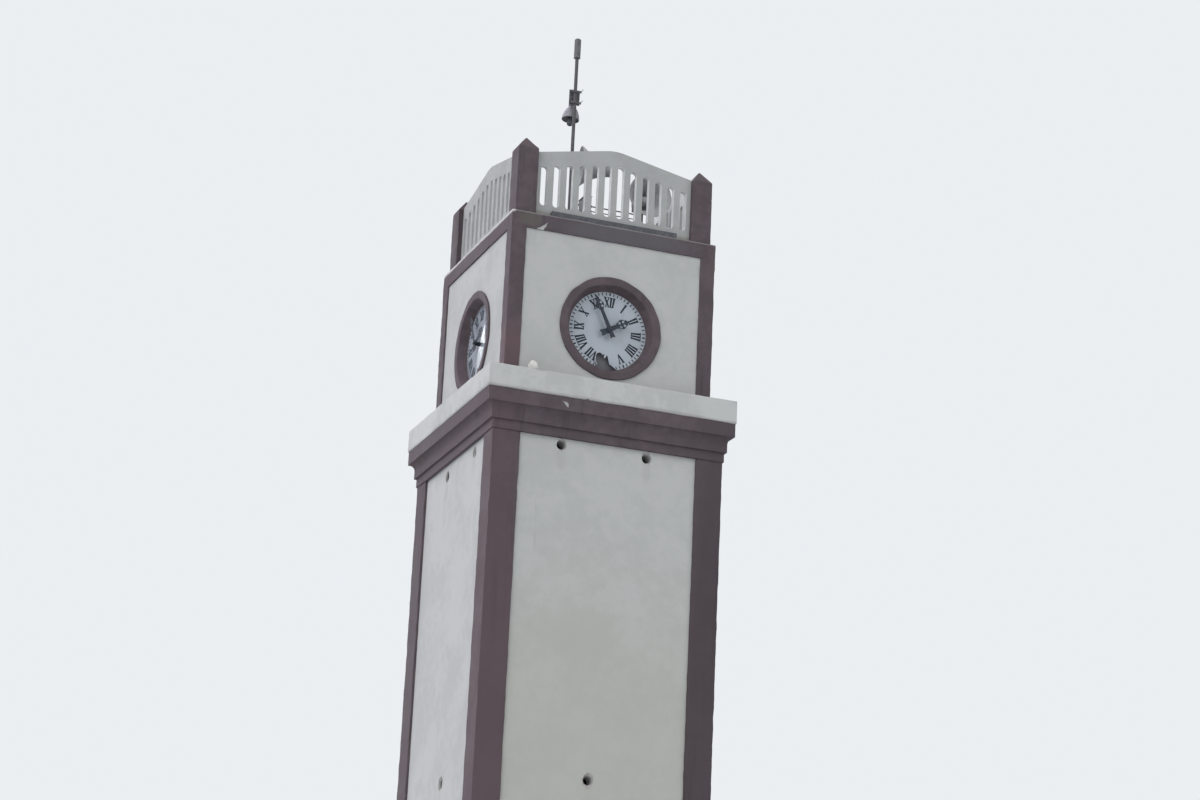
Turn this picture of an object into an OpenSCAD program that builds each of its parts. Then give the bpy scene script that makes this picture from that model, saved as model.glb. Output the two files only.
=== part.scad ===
/* [Shaft] */
// Width of the shaft across its corner piers
shaft_w = 2900; // [2600:10:3200]
// Height of the cornice slab's top above the ground
slab_top = 12820; // [11000:10:14000]
// Width of each corner pier of the shaft
pier_w = 340; // [260:5:420]
// How far the wall panels stand back from the pier faces
panel_recess = 30; // [10:5:60]
// Thickness of the shaft's wall panels
wall_t = 200; // [150:5:240]
// Diameter of the pipe vents through the panels
vent_d = 120; // [80:5:160]

/* [Base] */
// Height of the painted plinth
plinth_h = 450; // [300:10:700]
// How far the plinth stands out from the piers
plinth_out = 50; // [20:5:90]
// Thickness of the ground floor
floor_t = 150; // [100:10:200]
// Width of the doorway in the back wall
doorway_w = 860; // [760:10:1000]
// Height of the doorway above the floor
doorway_h = 2060; // [1960:10:2200]

/* [Cornice] */
// Width of the cornice slab
slab_w = 3140; // [3000:10:3300]
// Thickness of the cornice slab at its edge
slab_t = 283; // [200:1:320]
// Height of the crown face under the slab
crown_h = 168; // [120:1:200]
// How far the crown face stands back from the slab's edge
crown_in = 12; // [4:1:20]
// Height of the cove under the crown
cove_h = 87; // [60:1:110]
// How far the cove steps in
cove_w = 68; // [50:1:70]
// Height of the upper band
upper_band_h = 102; // [80:1:130]
// How far the lower band stands back from the upper band
upper_band_step = 27; // [10:1:30]
// Height of the lower band
lower_band_h = 114; // [80:1:140]

/* [Clock stage] */
// Width of the clock stage across its corner piers
stage_w = 2636; // [2500:2:2700]
// Width of each corner pier of the stage
stage_pier_w = 190; // [150:5:240]
// Thickness of the stage's walls
stage_wall_t = 150; // [120:5:160]
// How far the stage's walls stand back from the pier faces
stage_recess = 20; // [10:5:30]
// Height of the stage walls, up to the underside of the beam
stage_wall_h = 1841; // [1750:1:1950]
// Height of the beam round the top of the stage
beam_h = 201; // [150:1:250]
// Thickness of the roof slab
roof_t = 120; // [100:5:140]

/* [Parapet] */
// Width of each parapet post
post_w = 260; // [220:5:320]
// Width across the four posts
posts_across = 2536; // [2450:2:2620]
// Height of a post up to its shoulder
post_h = 822; // [760:1:840]
// Extra height of the front left post
tall_post_extra = 32; // [0:1:50]
// Height of the pyramid cap on a post
cap_h = 172; // [120:1:200]
// Thickness of the parapet panels
panel_t = 70; // [50:5:100]
// How far a panel stands back from the post faces
panel_back = 60; // [20:5:65]
// Height of a panel at the top of its pediment
gable_h = 1025; // [980:1:1040]
// Slope of the pediment
gable_angle = 11.4; // [9:0.1:11.6]
// Radius that rounds the top of the pediment
gable_r = 600; // [300:10:900]
// Number of slots in each panel
slot_count = 12; // [8:1:12]
// Distance from slot to slot
slot_pitch = 165; // [150:1:165]
// Width of a slot
slot_w = 84; // [60:2:100]
// Height of the slots' lower ends above the roof
slot_bottom = 158; // [100:1:200]
// Height of wall left above each slot
slot_cover = 184; // [150:1:250]

/* [Clock] */
// Height of the dial's centre above the cornice slab
dial_rise = 743; // [700:1:800]
// Radius of the dial that shows inside its ring
dial_r = 492; // [460:2:520]
// Inner radius of the ring at its front
ring_in_r = 538; // [530:1:550]
// Outer radius of the ring
ring_out_r = 645; // [620:1:680]
// How far the ring stands out from the wall
ring_out = 25; // [10:1:40]
// Depth of the dial behind the ring's front
dial_depth = 118; // [100:1:125]
// Angle at which the minute hands stand, clockwise from XII
minute_angle = 334.3; // [0:0.1:359.9]
// Angle at which the hour hands stand, clockwise from XII
hour_angle = 60.5; // [0:0.1:359.9]
// Length of the minute hand from its centre
minute_len = 455; // [400:1:470]
// Length of the hour hand from its centre
hour_len = 275; // [240:1:300]
// Thickness of the hands
hand_t = 4; // [3:0.5:5]

/* [Roof pieces] */
// Diameter of the mast
mast_d = 44; // [42:1:50]
// Height of the mast above the roof
mast_h = 2734; // [2500:1:2900]
// Diameter of the sleeve at the mast's head
head_d = 84; // [70:1:100]
// Length of the sleeve at the mast's head
head_h = 262; // [200:1:320]
// Mouth radius of the horn on the mast
bell_r = 111; // [96:1:114]
// Lean of the horn on the mast
bell_lean = 5; // [0:1:8]
// Mouth radius of the left roof horn
left_horn_r = 258; // [220:1:265]
// Mouth radius of the right roof horn
right_horn_r = 282; // [220:1:290]
// Turn of the left roof horn about its upright
left_horn_turn = 10; // [0:1:12]
// Length of the roof horns
horn_len = 460; // [430:5:480]
// Diameter of the uprights of the horn frame
upright_d = 42; // [34:1:48]
// Length of the channel at the foot of the front parapet
channel_len = 1625; // [1400:5:1900]

/* [Hidden] */
$fn = 96;

// Turn about the vertical that carries a piece from the front to each face
FRONT = 0;
RIGHT = 90;
BACK = 180;
LEFT = 270;

wall_paint = [0.78, 0.78, 0.75];
trim_paint = [0.38, 0.21, 0.22];
dial_white = [0.90, 0.92, 0.93];
hand_black = [0.06, 0.07, 0.08];
dark_metal = [0.22, 0.22, 0.24];
grey_metal = [0.45, 0.46, 0.48];
cement_grey = [0.50, 0.50, 0.50];

// Levels above the ground
slab_bottom = slab_top - slab_t;
moulding_h = crown_h + cove_h + upper_band_h + lower_band_h;
frieze_bottom = slab_bottom - moulding_h;
beam_bottom = slab_top + stage_wall_h;
roof_z = beam_bottom + beam_h;
dial_z = slab_top + dial_rise;

// Half widths
shaft_half = shaft_w / 2;
slab_half = slab_w / 2;
room_half = shaft_half - panel_recess - wall_t;
stage_half = stage_w / 2;
stage_room_half = stage_half - stage_pier_w;
posts_half = posts_across / 2;

// Vents of a panel, each as its place across the face and its height above the ground
front_vents = [[-585, 11990], [490, 11980], [-60, 8070], [-60, 4150]];
side_vents = [[-305, 11920], [710, 11965], [175, 8080], [175, 4160]];

// Stage opening that takes the ring's sleeve, and the sleeve's running gap in it
opening_r = dial_r + 65;
sleeve_gap = 1;
dial_plate_t = 8;
board_t = 10;
board_lap = 40;
dial_y = stage_half - stage_recess + ring_out - dial_depth;

// Heights above the dial face at which the hands run, and the arbor's steps
arbor_r = 20;
arbor_tip_r = 12;
bore_gap = 0.05;
hour_z = 60;
minute_z = 76;
arbor_step_z = 71;
arbor_top_z = 84;

// Place of the mast, and of the neck between the leaning horn's body and its bell
mast_x = -143;
neck_x = -126;
neck_y = 141;
neck_z = 2116;
horn_body_h = 211;
horn_body_r = 48;

// Points along an arc about c, from angle a to angle b
function arc(c, r, a, b, n = 12) =
    [for (i = [0:n]) c + r * [cos(a + (b - a) * i / n), sin(a + (b - a) * i / n)]];

// Turns a piece of the front face to another face
module on_face(turn) rotate([0, 0, turn]) children();

// Local frame of a dial: X to the right, Y up, Z out of the dial face
module on_dial(turn) on_face(turn) translate([0, -dial_y, dial_z]) rotate([90, 0, 0]) children();

// Solid whose outline is the same from the front and from the side, so that its corners are mitred
module mitred(half, centre = [0, 0]) {
    translate([centre.x, centre.y, 0])
        intersection() {
            translate([0, half, 0]) rotate([90, 0, 0]) linear_extrude(2 * half) children();
            translate([-half, 0, 0]) rotate([90, 0, 90]) linear_extrude(2 * half) children();
        }
}

// Places a piece at the four corners
module at_corners(d) for (x = [-1, 1], y = [-1, 1]) translate([x * d, y * d, 0]) children();

module square_block(half, h) translate([-half, -half, 0]) cube([2 * half, 2 * half, h]);

// Plinth with the ground floor inside it and the doorway's notch at the back
module base_plinth() color(trim_paint) {
    half = shaft_half + plinth_out;
    difference() {
        square_block(half, plinth_h);
        translate([0, 0, floor_t]) square_block(room_half, plinth_h);
        translate([-doorway_w / 2, 0, floor_t]) cube([doorway_w, half + 1, plinth_h]);
    }
}

module shaft_piers() color(trim_paint)
    translate([0, 0, plinth_h])
        at_corners(shaft_half - pier_w / 2)
            translate([-pier_w / 2, -pier_w / 2, 0]) cube([pier_w, pier_w, frieze_bottom - plinth_h]);

// Wall panel between two piers, with its round pipe vents
module shaft_wall(turn, vents) color(wall_paint) on_face(turn)
    difference() {
        w = shaft_w - 2 * pier_w;
        translate([-w / 2, -room_half - wall_t, plinth_h]) cube([w, wall_t, frieze_bottom - plinth_h]);
        for (v = vents)
            translate([v.x, -room_half + 1, v.y]) rotate([90, 0, 0]) cylinder(d = vent_d, h = wall_t + 2);
    }

module shaft_wall_front() shaft_wall(FRONT, front_vents);
module shaft_wall_right() shaft_wall(RIGHT, side_vents);
module shaft_wall_left() shaft_wall(LEFT, side_vents);

module shaft_wall_back() color(wall_paint)
    difference() {
        shaft_wall(BACK, front_vents);
        translate([-doorway_w / 2, room_half - 1, floor_t]) cube([doorway_w, wall_t + 2, doorway_h]);
    }

// Section of the moulding: lower band, upper band, cove and crown face
module moulding_section() {
    crown = slab_half - crown_in;
    upper = crown - cove_w;
    lower = upper - upper_band_step;
    z1 = lower_band_h;
    z2 = z1 + upper_band_h;
    z3 = z2 + cove_h;
    cove = [for (p = arc([0, 0], 1, 180, 90, 10)) [crown + p.x * cove_w, z2 + p.y * cove_h]];
    edge = concat([[lower, 0], [lower, z1], [upper, z1]], cove, [[crown, moulding_h]]);
    mirrored = [for (i = [len(edge) - 1:-1:0]) [-edge[i].x, edge[i].y]];
    polygon(concat(edge, mirrored));
}

// Ring beam under the slab, run with the moulding and mitred at the corners
module cornice_moulding() color(trim_paint)
    translate([0, 0, frieze_bottom])
        difference() {
            mitred(slab_half) moulding_section();
            translate([0, 0, -1]) square_block(room_half, moulding_h + 2);
        }

module cornice_slab() color(wall_paint) translate([0, 0, slab_bottom]) square_block(slab_half, slab_t);

module stage_piers() color(trim_paint)
    translate([0, 0, slab_top])
        at_corners(stage_half - stage_pier_w / 2)
            translate([-stage_pier_w / 2, -stage_pier_w / 2, 0])
                cube([stage_pier_w, stage_pier_w, stage_wall_h]);

// Wall of the clock stage with the round opening for its dial
module stage_wall(turn) color(wall_paint)
    difference() {
        on_face(turn)
            translate([-stage_room_half, -stage_half + stage_recess, slab_top])
                cube([2 * stage_room_half, stage_wall_t, stage_wall_h]);
        on_dial(turn) translate([0, 0, -stage_wall_t]) cylinder(r = opening_r, h = 2 * stage_wall_t + 100);
    }

module stage_wall_front() stage_wall(FRONT);
module stage_wall_right() stage_wall(RIGHT);
module stage_wall_back() stage_wall(BACK);
module stage_wall_left() stage_wall(LEFT);

module stage_beam() color(trim_paint)
    translate([0, 0, beam_bottom])
        difference() {
            square_block(stage_half, beam_h);
            translate([0, 0, -1]) square_block(stage_room_half, beam_h + 2);
        }

module roof_slab() color(wall_paint) translate([0, 0, roof_z - roof_t]) square_block(stage_room_half, roof_t);

// Post outline: straight sides up to a shoulder at height h and a pyramid cap
module post_section(h) {
    half = post_w / 2;
    polygon([[-half, 0], [half, 0], [half, h], [0, h + cap_h], [-half, h]]);
}

module parapet_posts() color(trim_paint)
    translate([0, 0, roof_z])
        for (x = [-1, 1], y = [-1, 1])
            mitred(post_w, [x, y] * (posts_half - post_w / 2))
                post_section(post_h + (x < 0 && y < 0 ? tall_post_extra : 0));

// Height of the pediment's edge at a place across the panel
gable_tangent_x = gable_r * sin(gable_angle);
gable_tangent_z = gable_h - gable_r * (1 - cos(gable_angle));
function gable_z(x) =
    abs(x) < gable_tangent_x
        ? gable_h - gable_r + sqrt(gable_r * gable_r - x * x)
        : gable_tangent_z - tan(gable_angle) * (abs(x) - gable_tangent_x);

// Slot with round ends, from z1 to z2
module slot(x, z1, z2) {
    r = slot_w / 2;
    translate([x - r, z1 + r]) square([slot_w, z2 - z1 - slot_w]);
    translate([x, z1 + r]) circle(r);
    translate([x, z2 - r]) circle(r);
}

// Pedimented panel between two posts, pierced by a row of slots that follow the gable
module parapet_panel(turn) color(wall_paint) on_face(turn)
    translate([0, -posts_half + panel_back + panel_t, roof_z]) rotate([90, 0, 0]) linear_extrude(panel_t)
        difference() {
            half = posts_half - post_w;
            ridge = arc([0, gable_h - gable_r], gable_r, 90 - gable_angle, 90 + gable_angle, 10);
            polygon(concat([[-half, 0], [half, 0], [half, gable_z(half)]], ridge, [[-half, gable_z(half)]]));
            for (i = [0:slot_count - 1])
                let (x = (i - (slot_count - 1) / 2) * slot_pitch)
                    slot(x, slot_bottom, gable_z(x) - slot_cover);
        }

module parapet_front() parapet_panel(FRONT);
module parapet_right() parapet_panel(RIGHT);
module parapet_back() parapet_panel(BACK);
module parapet_left() parapet_panel(LEFT);

// Moulded ring: a flat face on the wall and a splayed reveal back to the dial
module dial_ring(turn) color(trim_paint) on_dial(turn)
    rotate_extrude() {
        round_r = 8;
        lip_r = 22;
        wall_z = dial_depth - ring_out;
        sleeve_r = opening_r - sleeve_gap;
        outer = arc([ring_out_r - round_r, dial_depth - round_r], round_r, 0, 90, 4);
        inner = arc([ring_in_r + lip_r, dial_depth - lip_r], lip_r, 90, 170, 6);
        polygon(concat([[dial_r, 0], [sleeve_r, 0], [sleeve_r, wall_z], [ring_out_r, wall_z]], outer, inner));
    }

module dial_ring_front() dial_ring(FRONT);
module dial_ring_right() dial_ring(RIGHT);
module dial_ring_back() dial_ring(BACK);
module dial_ring_left() dial_ring(LEFT);

module dial_plate(turn) color(dial_white) on_dial(turn)
    translate([0, 0, -dial_plate_t])
        difference() {
            cylinder(r = opening_r - sleeve_gap, h = dial_plate_t);
            translate([0, 0, -1]) cylinder(r = arbor_r + 5, h = dial_plate_t + 2);
        }

// Broken edge of the hole at the foot of the front dial, running out under the ring
module broken_edge() polygon([
    [-134, -325], [-113, -293], [-88, -283], [-62, -289], [-55, -306], [-36, -309], [-24, -346],
    [-6, -336], [3, -315], [20, -325], [32, -374], [47, -416], [73, -427], [93, -440], [119, -458],
    [136, -472], [150, -505], [-146, -505], [-136, -440], [-144, -392], [-130, -360]
]);

module dial_plate_front() color(dial_white)
    difference() {
        dial_plate(FRONT);
        on_dial(FRONT) translate([0, 0, -dial_plate_t - 1]) linear_extrude(dial_plate_t + 2) broken_edge();
    }
module dial_plate_right() dial_plate(RIGHT);
module dial_plate_back() dial_plate(BACK);
module dial_plate_left() dial_plate(LEFT);

// Square boards on the inside of the stage's walls, which close the openings behind the dials
module dial_backs() color(cement_grey)
    for (turn = [FRONT, RIGHT, BACK, LEFT])
        on_dial(turn) {
            half = opening_r + board_lap;
            inner_face = stage_half - stage_recess - stage_wall_t - dial_y;
            translate([-half, -half, inner_face - board_t]) cube([2 * half, 2 * half, board_t]);
        }

// Stepped arbor through each dial plate, with a flange behind the plate and a nut in front of the hands
module arbor() rotate_extrude() {
    back = -dial_plate_t;
    polygon([
        [0, back - 8], [50, back - 8], [50, back], [arbor_r + 5, back], [arbor_r + 5, hour_z - 2],
        [arbor_r, hour_z - 2], [arbor_r, arbor_step_z], [arbor_tip_r, arbor_step_z],
        [arbor_tip_r, arbor_top_z], [18, arbor_top_z], [18, arbor_top_z + 6], [10, arbor_top_z + 12],
        [0, arbor_top_z + 12]
    ]);
}

module hand_arbors() color(dark_metal)
    for (turn = [FRONT, RIGHT, BACK, LEFT]) on_dial(turn) arbor();

// Blade that narrows from w1 at y1 to w2 at y2
module blade(y1, w1, y2, w2) polygon([[-w1 / 2, y1], [w1 / 2, y1], [w2 / 2, y2], [-w2 / 2, y2]]);

// Lance point with bowed sides, from y1 to its tip at y2
module lance(y1, y2, w) {
    steps = 8;
    side = [for (i = [0:steps]) let (t = i / steps) [w / 2 * sin(180 * (0.2 + 0.8 * t)), y1 + (y2 - y1) * t]];
    mirrored = [for (i = [steps:-1:0]) [-side[i].x, side[i].y]];
    polygon(concat(side, mirrored));
}

// Ring pierced by four round lights, the cross between them left whole, with leaves at its two ends
module pierced_ring(y, r) translate([0, y]) {
    difference() {
        circle(r);
        for (a = [0:90:270]) rotate(a) translate([r * 0.43, r * 0.43]) circle(r * 0.28);
    }
    for (x = [-1, 1], end = [-1, 1]) translate([x * r * 0.36, end * r * 1.0]) circle(r * 0.24);
}

// Flared tail with a hollowed end
module tail(len, w1, w2) difference() {
    rotate(180) blade(0, w1, len, w2);
    translate([0, -len - w2 * 0.35]) circle(w2 * 0.5);
}

module hand(len, ring_y, ring_r, blade_w, tail_len, tail_w, hub_r, bore_r, z) {
    translate([0, 0, z])
        difference() {
            union() {
                linear_extrude(hand_t) {
                    blade(0, blade_w, ring_y - ring_r * 0.8, blade_w * 0.7);
                    pierced_ring(ring_y, ring_r);
                    lance(ring_y + ring_r * 0.9, len, ring_r * 0.8);
                    tail(tail_len, blade_w * 0.8, tail_w);
                }
                translate([0, 0, -1]) cylinder(r = hub_r, h = hand_t + 3);
            }
            translate([0, 0, -2]) cylinder(r = bore_r + bore_gap, h = hand_t + 6);
        }
}

module minute_hand(turn) color(hand_black) on_dial(turn) rotate([0, 0, -minute_angle])
    hand(minute_len, 324, 54, 54, 112, 64, 34, arbor_tip_r, minute_z);

module hour_hand(turn) color(hand_black) on_dial(turn) rotate([0, 0, -hour_angle])
    hand(hour_len, 186, 60, 66, 118, 82, 42, arbor_r, hour_z);

module minute_hand_front() minute_hand(FRONT);
module minute_hand_right() minute_hand(RIGHT);
module minute_hand_back() minute_hand(BACK);
module minute_hand_left() minute_hand(LEFT);
module hour_hand_front() hour_hand(FRONT);
module hour_hand_right() hour_hand(RIGHT);
module hour_hand_back() hour_hand(BACK);
module hour_hand_left() hour_hand(LEFT);

// Pipe mast on a round foot
module mast() color(dark_metal) translate([mast_x, 0, roof_z]) {
    cylinder(d = mast_d, h = mast_h);
    cylinder(d = 160, h = 12);
    translate([0, 0, 12]) cylinder(d1 = 110, d2 = mast_d, h = 50);
}

module mast_head() color(grey_metal) translate([mast_x, 0, roof_z + mast_h]) {
    cylinder(d = head_d, h = head_h - 10);
    translate([0, 0, head_h - 10]) cylinder(d1 = head_d, d2 = head_d - 16, h = 10);
}

// Local frame of the leaning horn: Z up along its axis, its neck at the origin
module on_bell_axis() translate([neck_x, neck_y, roof_z + neck_z]) rotate([0, bell_lean, 0]) children();

module mast_horn_body() color(dark_metal) on_bell_axis() rotate_extrude() {
    r = horn_body_r;
    h = horn_body_h;
    polygon([[0, 0], [r - 8, 0], [r, 10], [r, h - 26], [r - 4, h - 22], [r - 4, h - 8], [r - 12, h], [0, h]]);
}

// Bell with a rolled rim and the dark core that hangs out of it
module mast_horn_bell() color(grey_metal) on_bell_axis() {
    h = 175;
    t = 4;
    neck_r = 45;
    rotate_extrude() {
        flare = [for (i = [0:10]) let (u = i / 10) [neck_r + (bell_r - neck_r) * (1 - pow(1 - u, 2)), -h * u]];
        inside = [for (i = [10:-1:0]) [flare[i].x - t, min(flare[i].y, -10)]];
        core = concat([[34, -26], [42, -90]], arc([0, -h - 8], 42, 0, -90, 8));
        polygon(concat([[0, 0]], flare, inside, core));
    }
    translate([0, 0, -h]) rotate_extrude() translate([bell_r - t / 2, 0]) circle(4, $fn = 24);
}

// Plate behind the mast with a stand-off to the horn, and two bars that long rods draw against the mast
module mast_clamps() color(dark_metal) {
    face_y = mast_d / 2 + 0.2;
    plate_t = 6;
    difference() {
        translate([mast_x, 0, roof_z]) {
            translate([-70, face_y, 2098]) cube([140, plate_t, 202]);
            translate([-4, face_y + plate_t, 2130]) cube([60, neck_y - face_y - plate_t, 160]);
            for (z = [2100, 2253]) {
                translate([-58, -face_y - 8, z]) cube([134, 8, 28]);
                for (rod = [[-46, 46], [64, 112]])
                    translate([rod.x, face_y + 14, z + 14]) rotate([90, 0, 0])
                        cylinder(d = 8, h = face_y + 14 + rod.y);
            }
        }
        on_bell_axis() cylinder(r = horn_body_r + 0.3, h = horn_body_h + 100);
    }
}

// Station of a roof horn's pivots along its axis from its back, and the arms' half spread there
horn_pivot = 182;
yoke_half = 122;

// Roof horn along Z: driver pot at the back, a shell that flares to a beaded mouth, and the core inside it
module roof_horn(mouth_r) {
    pot_h = 70;
    t = 5;
    bead_r = 6;
    span = horn_len - pot_h;
    function flare_r(z) = 100 + (mouth_r - 100) * pow((z - pot_h) / span, 2.1);
    rotate_extrude() {
        flare = [for (i = [0:12]) let (z = pot_h + span * i / 12) [flare_r(z), z]];
        inside = [for (i = [12:-1:0]) [flare[i].x - t, max(flare[i].y, pot_h + t)]];
        polygon(concat(
            [[0, 0], [64, 0], [80, 16], [80, pot_h], [100, pot_h]], flare, inside,
            [[60, pot_h + t], [60, pot_h + 180], [40, pot_h + 222], [0, pot_h + 234]]
        ));
    }
    translate([0, 0, horn_len]) rotate_extrude() translate([mouth_r - t / 2, 0]) circle(bead_r, $fn = 24);
    // Bosses on which the yoke's arms hold the shell
    start = flare_r(horn_pivot) - 4;
    for (side = [-90, 90]) translate([0, 0, horn_pivot]) rotate([side, 0, 0])
        translate([0, 0, start]) cylinder(r = 14, h = yoke_half - start);
}

// Heights above the roof of the rail and of the horns' axes, and the line on which the uprights stand
rail_z = 737;
conduit_z = 671;
frame_y = -50;
left_horn_z = 1274;
left_horn_x = -26;
right_horn_z = 885;
right_horn_x = 782;
right_horn_y = -400;

left_upright_x = left_horn_x + horn_len - horn_pivot;
right_upright_y = right_horn_y + horn_len - horn_pivot;

module roof_horn_left() color(dark_metal)
    translate([left_upright_x, frame_y, roof_z + left_horn_z])
        rotate([0, 0, -left_horn_turn]) translate([horn_pivot, 0, 0]) rotate([0, -90, 0])
            roof_horn(left_horn_r);

module roof_horn_right() color(dark_metal)
    translate([right_horn_x, right_horn_y + horn_len, roof_z + right_horn_z])
        rotate([90, 0, 0]) rotate([0, 0, 90]) roof_horn(right_horn_r);

// Upright on a round foot, with the U-shaped yoke that holds a horn at axis height z
module upright(z) {
    base_z = z - yoke_half - 24;
    bar_w = 40;
    bar_t = 6;
    cylinder(d = upright_d, h = base_z + 1);
    cylinder(r = 60, h = 10);
    translate([0, bar_w / 2, base_z]) rotate([90, 0, 0]) linear_extrude(bar_w)
        difference() {
            translate([-yoke_half - bar_t, 0]) square([2 * (yoke_half + bar_t), z + 20 - base_z]);
            translate([-yoke_half, bar_t]) square([2 * yoke_half, z + 20 - base_z]);
        }
}

// Frame of the horns: two uprights, and a rail and a conduit between them and the box on its own post
module roof_horn_frame() color(dark_metal) translate([0, 0, roof_z]) {
    box = [95, 200, 235];
    box_x = 26;
    box_z = 620;
    translate([left_upright_x, frame_y, 0]) rotate(90 - left_horn_turn) upright(left_horn_z);
    translate([right_horn_x, right_upright_y, 0]) upright(right_horn_z);
    translate([box_x, frame_y - 25, box_z]) cube(box);
    translate([box_x + box.x / 2, frame_y - 25 + box.y / 2, 0]) {
        cylinder(d = upright_d, h = box_z + 1);
        cylinder(r = 60, h = 10);
    }
    for (rod = [[rail_z, 16], [conduit_z, 12]]) translate([right_horn_x, frame_y, rod[0]]) {
        rotate([0, -90, 0]) cylinder(d = rod[1], h = right_horn_x - box_x - box.x + 1);
        sphere(d = rod[1]);
        rotate([90, 0, 0]) cylinder(d = rod[1], h = frame_y - right_upright_y);
    }
}

// Folded sheet channel that lies on the beam along the foot of the front parapet
module front_channel() color(grey_metal)
    translate([-channel_len / 2, -posts_half - 15, roof_z])
        difference() {
            cube([channel_len, 48, 75]);
            translate([-1, 3, 3]) cube([channel_len + 2, 42, 80]);
        }

// Frame and leaf of the access door, shut
frame_w = 50;
frame_d = 100;
module door_frame() color(dark_metal)
    translate([-doorway_w / 2, room_half + wall_t - frame_d, floor_t])
        difference() {
            cube([doorway_w, frame_d, doorway_h]);
            translate([frame_w, -1, -1]) cube([doorway_w - 2 * frame_w, frame_d + 2, doorway_h - frame_w + 1]);
        }

// Sheet leaf with two sunk panels on its outside and hinge barrels on its edge
module access_door() color(trim_paint)
    translate([-doorway_w / 2 + frame_w + 3, room_half + wall_t - 60, floor_t + 6]) {
        leaf = [doorway_w - 2 * frame_w - 6, 42, doorway_h - frame_w - 9];
        border = 110;
        sunk = 10;
        panel = [leaf.x - 2 * border, (leaf.z - 3 * border) / 2];
        difference() {
            cube(leaf);
            for (z = [border, 2 * border + panel.y])
                translate([border, leaf.y - sunk, z]) cube([panel.x, sunk + 1, panel.y]);
        }
        for (z = [180, leaf.z / 2 - 60, leaf.z - 300]) translate([leaf.x - 9, leaf.y, z]) cylinder(d = 18, h = 120);
    }

base_plinth();
shaft_piers();
shaft_wall_front();
shaft_wall_right();
shaft_wall_back();
shaft_wall_left();
cornice_moulding();
cornice_slab();
stage_piers();
stage_wall_front();
stage_wall_right();
stage_wall_back();
stage_wall_left();
stage_beam();
roof_slab();
parapet_posts();
parapet_front();
parapet_right();
parapet_back();
parapet_left();
dial_ring_front();
dial_ring_right();
dial_ring_back();
dial_ring_left();
dial_plate_front();
dial_plate_right();
dial_plate_back();
dial_plate_left();
dial_backs();
hand_arbors();
minute_hand_front();
minute_hand_right();
minute_hand_back();
minute_hand_left();
hour_hand_front();
hour_hand_right();
hour_hand_back();
hour_hand_left();
mast();
mast_head();
mast_horn_body();
mast_horn_bell();
mast_clamps();
roof_horn_frame();
roof_horn_left();
roof_horn_right();
front_channel();
door_frame();
access_door();
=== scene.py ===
import math
import random

import bpy
from mathutils import Matrix, Vector, noise


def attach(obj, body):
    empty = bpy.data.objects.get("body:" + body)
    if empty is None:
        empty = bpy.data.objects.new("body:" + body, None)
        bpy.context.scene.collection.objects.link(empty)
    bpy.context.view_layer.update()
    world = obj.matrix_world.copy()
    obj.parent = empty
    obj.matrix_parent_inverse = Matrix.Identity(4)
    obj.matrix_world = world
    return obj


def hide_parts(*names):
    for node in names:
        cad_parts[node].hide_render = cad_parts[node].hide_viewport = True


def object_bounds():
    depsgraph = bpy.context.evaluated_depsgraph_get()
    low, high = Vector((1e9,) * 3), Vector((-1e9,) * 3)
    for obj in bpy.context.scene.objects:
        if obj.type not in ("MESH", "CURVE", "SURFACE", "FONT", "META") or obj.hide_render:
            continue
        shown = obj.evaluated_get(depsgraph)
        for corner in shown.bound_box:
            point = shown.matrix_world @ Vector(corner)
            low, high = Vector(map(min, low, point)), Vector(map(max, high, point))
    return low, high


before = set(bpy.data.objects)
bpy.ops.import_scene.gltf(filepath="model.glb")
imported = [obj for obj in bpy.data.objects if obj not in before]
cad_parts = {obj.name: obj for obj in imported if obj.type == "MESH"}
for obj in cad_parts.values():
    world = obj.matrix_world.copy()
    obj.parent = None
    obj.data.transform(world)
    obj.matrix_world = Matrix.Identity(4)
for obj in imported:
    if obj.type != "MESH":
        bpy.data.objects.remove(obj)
cad_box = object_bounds()
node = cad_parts

# Viewpoint: eye height in the street, a little to the left of the front, looking up at the clock stage.
# Its lens and place were solved from the edges of the tower's two faces.
bpy.ops.object.select_all(action="DESELECT")
bpy.ops.object.camera_add(location=(-11.900, -33.499, 1.598))
camera = bpy.context.object
camera.name = "camera"
heading = Matrix.Rotation(math.radians(-20.145), 4, "Z")
lift = Matrix.Rotation(math.radians(90 + 17.865), 4, "X")
roll = Matrix.Rotation(math.radians(2.722), 4, "Z")
camera.rotation_euler = (heading @ lift @ roll).to_euler()
camera.data.sensor_width = 36.0
camera.data.lens = 91.05
camera.data.clip_end = 500.0
bpy.context.scene.camera = camera


# Studio daylight: an even pale surround, a broad lamp from the front left, a weaker one from the right
# and a faintly violet one from behind that lights the reveals of the slots. The backdrop, and a tall
# bright strip behind the tower at the left, are only seen or mirrored.
def put(tree, kind, settings=None, **inputs):
    """Adds a shader node; _0, _1 mean an input by its place, and a socket given as a value is linked."""
    added = tree.nodes.new("ShaderNode" + kind)
    for name, value in (settings or {}).items():
        setattr(added, name, value)
    for name, value in inputs.items():
        socket = added.inputs[int(name[1:]) if name[0] == "_" else name.replace("_", " ")]
        if isinstance(value, bpy.types.NodeSocket):
            tree.links.new(value, socket)
        elif socket.type == "RGBA":
            socket.default_value = (*value, 1.0)
        else:
            socket.default_value = value
    return added


def reckon(tree, operation, *values):
    """Works out one value from others."""
    inputs = {f"_{place}": value for place, value in enumerate(values)}
    return put(tree, "Math", {"operation": operation}, **inputs).outputs[0]


def step_up(tree, value, low, high, most=1.0):
    """Turns a value into a mask that rises from 0 at low to most at high."""
    mask = put(tree, "MapRange", {"interpolation_type": "SMOOTHSTEP"}, Value=value, From_Min=low,
               From_Max=high, To_Min=0.0, To_Max=most)
    return mask.outputs[0]


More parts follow.
